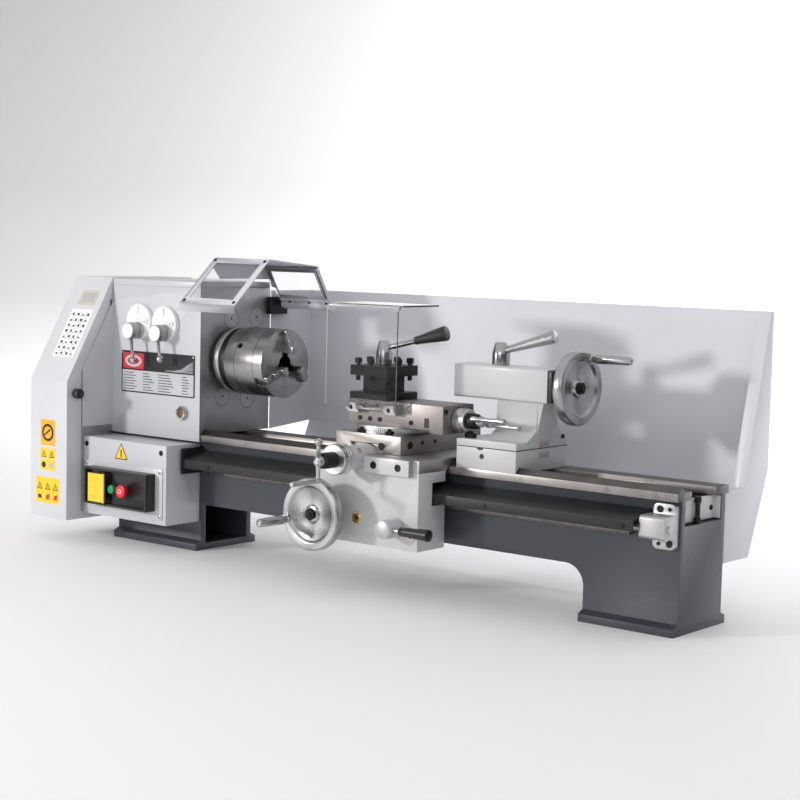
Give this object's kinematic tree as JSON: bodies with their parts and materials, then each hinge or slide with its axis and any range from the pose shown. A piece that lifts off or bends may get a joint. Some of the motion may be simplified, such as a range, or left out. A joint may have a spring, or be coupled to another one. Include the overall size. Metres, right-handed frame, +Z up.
{
  "type": "metal lathe",
  "caption": "Bench metal lathe with raised chuck guard, carriage with tool shield, tailstock and long splash guard.",
  "frame": {"origin": "centre of the four hold-down holes, on the underside of the feet", "axes": "+X along the bed from headstock to tailstock, +Y to the back, +Z up"},
  "size_m": [1.372, 0.541, 0.553],
  "materials": {
    "bed_paint": "satin dark blue-grey enamel",
    "ground_iron": "ground and oiled",
    "steel": "turned",
    "black_steel": "black enamel",
    "black_oxide": "black oxide",
    "light_paint": "semi-gloss light grey enamel",
    "sheet_paint": "gloss light grey enamel",
    "white_paint": "gloss off-white enamel",
    "chrome": "polished",
    "aluminium": "turned and polished",
    "black_plastic": "black",
    "yellow_plastic": "yellow",
    "green_plastic": "green",
    "red_plastic": "red",
    "label": "printed plate",
    "clear_plastic": "clear acrylic"
  },
  "bodies": {
    "base": {"bed": "bed_paint", "gear_rack": "steel", "leadscrew_cover": "black_steel", "leadscrew_brackets": "steel", "headstock_casting": "light_paint", "headstock_cover": "light_paint", "spindle_bearings": "steel", "gear_arm": "black_steel", "electrical_box": "light_paint", "switch_plate": "light_paint", "switch_housing": "black_plastic", "speed_dials": "label", "oil_sight_glass": "chrome", "nameplate": "label", "guard_hinge_block": "black_steel", "splash_guard": "sheet_paint", "splash_brackets": "black_steel", "bed_end_plate": "white_paint", "bed_stop_bolt": "black_steel"},
    "leadscrew": {"leadscrew": "steel", "leadscrew_gear": "steel"},
    "spindle": {"spindle": "steel", "spindle_gear": "steel", "chuck_back_plate": "black_oxide", "chuck_body": "steel"},
    "jaw_1": {"chuck_jaw_1": "steel"},
    "jaw_2": {"chuck_jaw_2": "steel"},
    "jaw_3": {"chuck_jaw_3": "steel"},
    "upper_idler": {"idler_gear_upper": "steel"},
    "lower_idler": {"idler_gear_lower": "steel"},
    "gear_cover": {"gear_cover": "sheet_paint"},
    "cover_knob": {"gear_cover_knob": "black_plastic"},
    "start_button": {"start_button": "green_plastic"},
    "stop_button": {"stop_button": "red_plastic"},
    "switch_flap": {"switch_flap": "yellow_plastic"},
    "speed_lever_left": {"speed_lever_left": "chrome"},
    "speed_lever_right": {"speed_lever_right": "chrome"},
    "chuck_guard": {"chuck_guard_frame": "sheet_paint", "chuck_guard_windows": "clear_plastic"},
    "carriage": {"saddle": "ground_iron", "apron": "white_paint"},
    "apron_wheel": {"apron_handwheel": "aluminium", "apron_pinion": "steel"},
    "half_nut_lever": {"half_nut_lever": "chrome"},
    "cross_slide": {"cross_slide": "ground_iron"},
    "cross_feed_crank": {"cross_feed_crank": "chrome"},
    "swivel": {"swivel_base": "ground_iron"},
    "top_slide": {"top_slide": "ground_iron", "shield_clips": "steel"},
    "tool_shield": {"tool_shield": "clear_plastic"},
    "top_slide_crank": {"top_slide_crank": "chrome"},
    "toolpost": {"toolpost": "black_oxide", "toolpost_screws": "black_oxide"},
    "toolpost_lever": {"toolpost_lever": "chrome"},
    "tailstock": {"tailstock_base": "white_paint", "tailstock_body": "white_paint", "tailstock_end_plate": "black_steel"},
    "quill": {"tailstock_quill": "steel"},
    "tailstock_wheel": {"tailstock_handwheel": "aluminium"},
    "quill_lever": {"quill_lever": "chrome"}
  },
  "joints": [
    {"name": "spindle_spin", "type": "hinge", "parent": "base", "child": "spindle", "pos_m": [-0.3, 0, 0.3605], "axis": [1, 0, 0], "continuous": true},
    {"name": "jaw_1_slide", "type": "slide", "parent": "spindle", "child": "jaw_1", "axis": [0, 0, 1], "range_m": [-0.01, 0.006]},
    {"name": "jaw_2_slide", "type": "slide", "parent": "spindle", "child": "jaw_2", "axis": [0, -0.866, -0.5], "range_m": [-0.01, 0.006]},
    {"name": "jaw_3_slide", "type": "slide", "parent": "spindle", "child": "jaw_3", "axis": [0, 0.866, -0.5], "range_m": [-0.01, 0.006]},
    {"name": "upper_idler_spin", "type": "hinge", "parent": "base", "child": "upper_idler", "pos_m": [-0.712, -0.02934, 0.29137], "axis": [1, 0, 0], "continuous": true},
    {"name": "lower_idler_spin", "type": "hinge", "parent": "base", "child": "lower_idler", "pos_m": [-0.712, -0.0262, 0.20883], "axis": [1, 0, 0], "continuous": true},
    {"name": "leadscrew_spin", "type": "hinge", "parent": "base", "child": "leadscrew", "pos_m": [0, -0.098, 0.168], "axis": [1, 0, 0], "continuous": true},
    {"name": "gear_cover_swing", "type": "hinge", "parent": "base", "child": "gear_cover", "pos_m": [-0.636, 0.13, 0.275], "axis": [0, 0, 1], "range_deg": [-105, 0]},
    {"name": "cover_knob_turn", "type": "hinge", "parent": "gear_cover", "child": "cover_knob", "pos_m": [-0.63, -0.178, 0.287], "axis": [1, 0, 0], "range_deg": [0, 360]},
    {"name": "start_press", "type": "slide", "parent": "base", "child": "start_button", "axis": [0, 1, 0], "range_m": [0, 0.0015], "stiffness_N_per_m": 600, "springref_m": -0.003},
    {"name": "stop_press", "type": "slide", "parent": "base", "child": "stop_button", "axis": [0, 1, 0], "range_m": [0, 0.0015], "stiffness_N_per_m": 600, "springref_m": -0.003},
    {"name": "flap_swing", "type": "hinge", "parent": "base", "child": "switch_flap", "pos_m": [-0.545, -0.183, 0.113], "axis": [0, 0, 1], "range_deg": [0, 160]},
    {"name": "speed_lever_left_turn", "type": "hinge", "parent": "base", "child": "speed_lever_left", "pos_m": [-0.553, -0.1, 0.4095], "axis": [0, 1, 0], "range_deg": [-45, 45]},
    {"name": "speed_lever_right_turn", "type": "hinge", "parent": "base", "child": "speed_lever_right", "pos_m": [-0.479, -0.1, 0.408], "axis": [0, 1, 0], "range_deg": [-45, 45]},
    {"name": "chuck_guard_tilt", "type": "hinge", "parent": "base", "child": "chuck_guard", "pos_m": [-0.32, 0.129, 0.465], "axis": [1, 0, 0], "range_deg": [0, 35]},
    {"name": "carriage_slide", "type": "slide", "parent": "base", "child": "carriage", "axis": [1, 0, 0], "range_m": [-0.15, 0]},
    {"name": "apron_wheel_turn", "type": "hinge", "parent": "carriage", "child": "apron_wheel", "pos_m": [0.0115, -0.2, 0.133], "axis": [0, 1, 0], "range_deg": [0, 480]},
    {"name": "half_nut_turn", "type": "hinge", "parent": "carriage", "child": "half_nut_lever", "pos_m": [0.15, -0.18, 0.121], "axis": [0, 1, 0], "range_deg": [0, 35]},
    {"name": "cross_slide_feed", "type": "slide", "parent": "carriage", "child": "cross_slide", "axis": [0, 1, 0], "range_m": [-0.06, 0]},
    {"name": "cross_feed_turn", "type": "hinge", "parent": "carriage", "child": "cross_feed_crank", "pos_m": [0.057, -0.2, 0.229], "axis": [0, 1, 0], "range_deg": [0, 6000]},
    {"name": "swivel_turn", "type": "hinge", "parent": "cross_slide", "child": "swivel", "pos_m": [0.058, -0.06, 0.273], "axis": [0, 0, 1], "range_deg": [-45, 0]},
    {"name": "top_slide_feed", "type": "slide", "parent": "swivel", "child": "top_slide", "axis": [1, 0, 0], "range_m": [-0.03, 0.008]},
    {"name": "top_slide_crank_turn", "type": "hinge", "parent": "top_slide", "child": "top_slide_crank", "pos_m": [0.22, -0.06, 0.297], "axis": [1, 0, 0], "range_deg": [-4000, 4000]},
    {"name": "tool_shield_tilt", "type": "hinge", "parent": "top_slide", "child": "tool_shield", "pos_m": [0.055, -0.117, 0.308], "axis": [1, 0, 0], "range_deg": [0, 65]},
    {"name": "toolpost_turn", "type": "hinge", "parent": "top_slide", "child": "toolpost", "pos_m": [0.0348, -0.06, 0.35], "axis": [0, 0, 1], "continuous": true},
    {"name": "toolpost_lever_turn", "type": "hinge", "parent": "top_slide", "child": "toolpost_lever", "pos_m": [0.0348, -0.06, 0.395], "axis": [0, 0, 1], "range_deg": [-10, 90]},
    {"name": "tailstock_slide", "type": "slide", "parent": "base", "child": "tailstock", "axis": [1, 0, 0], "range_m": [0, 0.12]},
    {"name": "quill_feed", "type": "slide", "parent": "tailstock", "child": "quill", "axis": [1, 0, 0], "range_m": [-0.07, 0]},
    {"name": "tailstock_wheel_turn", "type": "hinge", "parent": "tailstock", "child": "tailstock_wheel", "pos_m": [0.39, 0, 0.3605], "axis": [1, 0, 0], "range_deg": [0, 6400]},
    {"name": "quill_lever_turn", "type": "hinge", "parent": "tailstock", "child": "quill_lever", "pos_m": [0.2376, 0, 0.395], "axis": [0, 0, 1], "range_deg": [-10, 60]}
  ],
  "couplings": [
    {"joint": "jaw_2_slide", "follows": "jaw_1_slide", "ratio": 1},
    {"joint": "jaw_3_slide", "follows": "jaw_1_slide", "ratio": 1},
    {"joint": "upper_idler_spin", "follows": "spindle_spin", "ratio": -0.66667},
    {"joint": "lower_idler_spin", "follows": "spindle_spin", "ratio": 0.8},
    {"joint": "leadscrew_spin", "follows": "spindle_spin", "ratio": -0.66667},
    {"joint": "apron_wheel_turn", "follows": "carriage_slide", "rad_per_m": -55.556},
    {"joint": "cross_feed_turn", "follows": "cross_slide_feed", "rad_per_m": -1570.8},
    {"joint": "top_slide_crank_turn", "follows": "top_slide_feed", "rad_per_m": 1570.8},
    {"joint": "tailstock_wheel_turn", "follows": "quill_feed", "rad_per_m": -1570.8}
  ]
}
